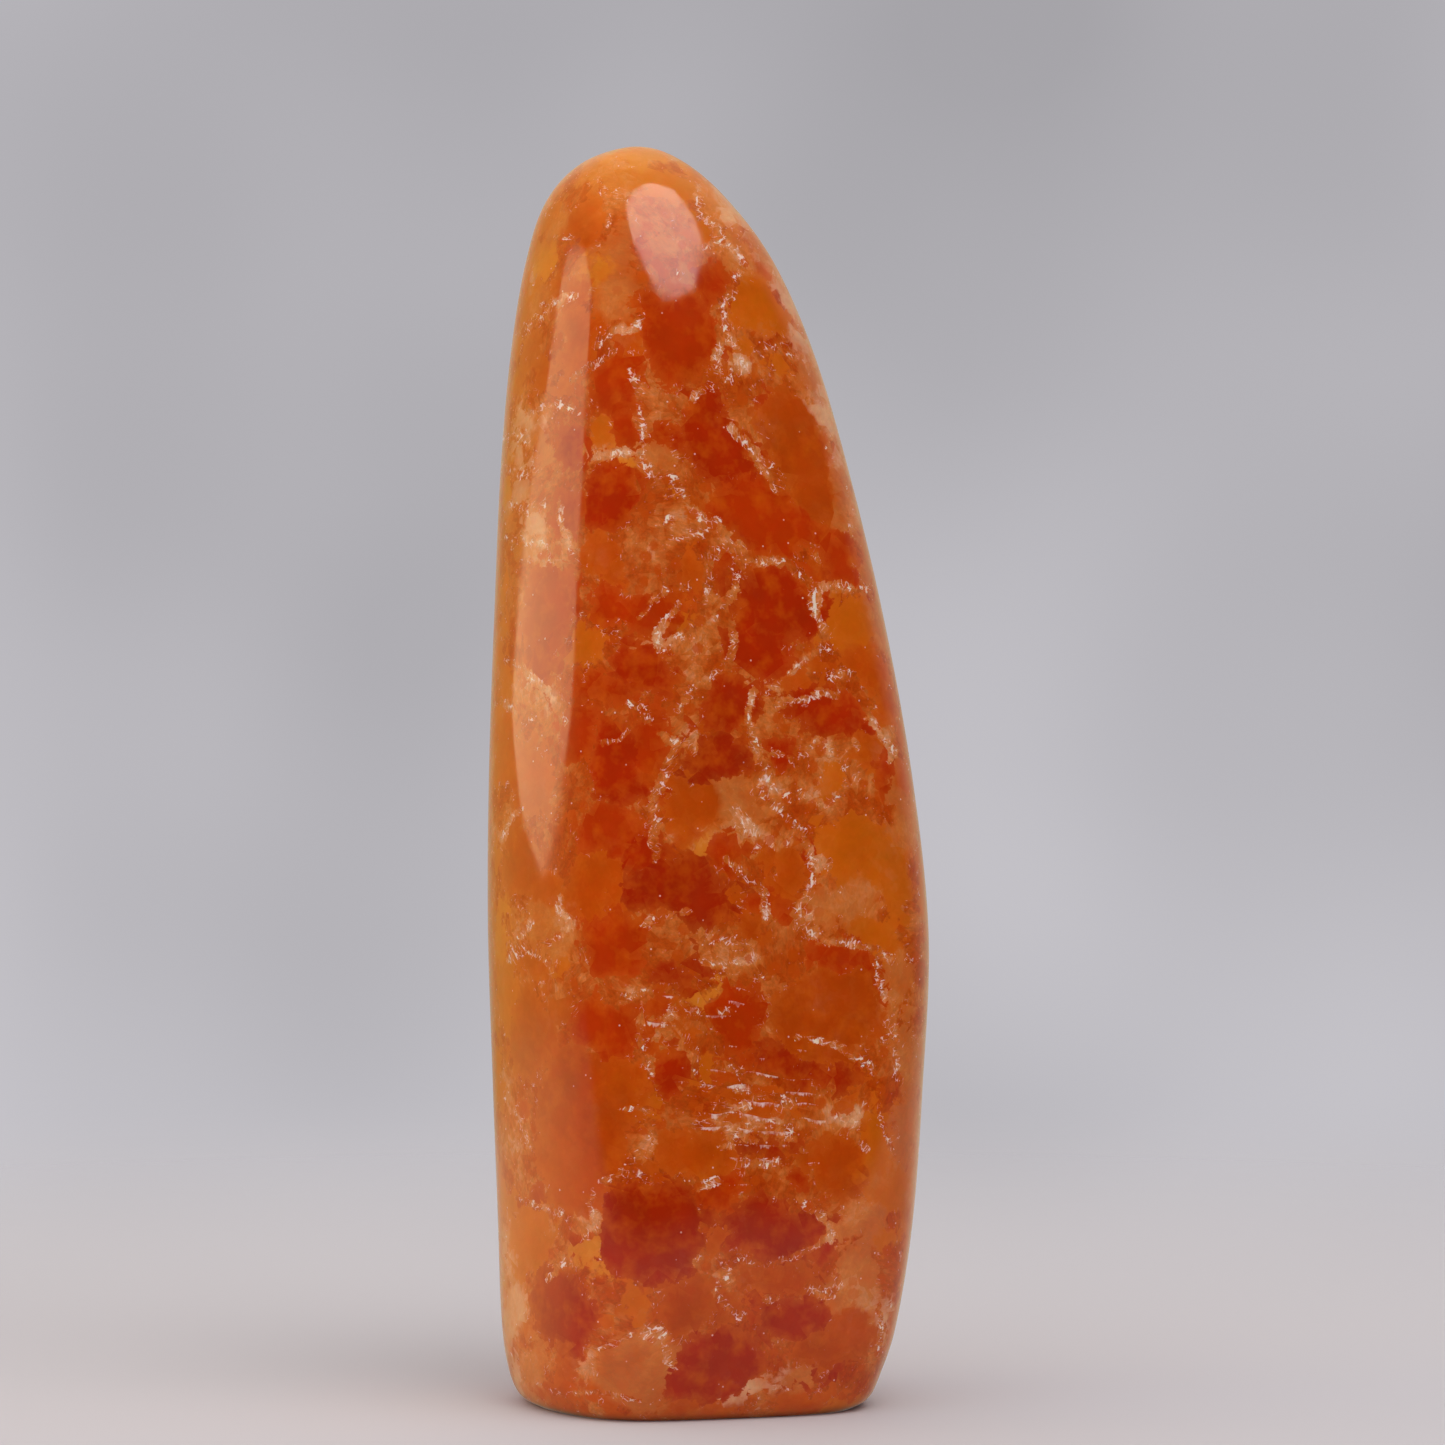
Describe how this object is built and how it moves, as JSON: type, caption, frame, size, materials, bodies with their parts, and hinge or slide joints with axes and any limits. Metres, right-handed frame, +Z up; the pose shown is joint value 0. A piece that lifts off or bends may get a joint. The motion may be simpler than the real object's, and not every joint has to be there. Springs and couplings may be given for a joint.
{
  "type": "orange calcite freeform",
  "caption": "Tall polished freeform of orange calcite on a flat sawn base, with softly rounded ground faces, narrowing to a rounded tip that sits left of the middle.",
  "frame": {"origin": "on the flat base, under the middle of the stone's bounding box", "axes": "+Z up along the stone's height, -Y towards the viewer of the pictured front, +X to the viewer's right"},
  "size_m": [0.0528, 0.0458, 0.15],
  "materials": {
    "orange_calcite": "polished, cloudy and slightly translucent"
  },
  "bodies": {
    "root": {"calcite_freeform": "orange_calcite"}
  },
  "joints": []
}
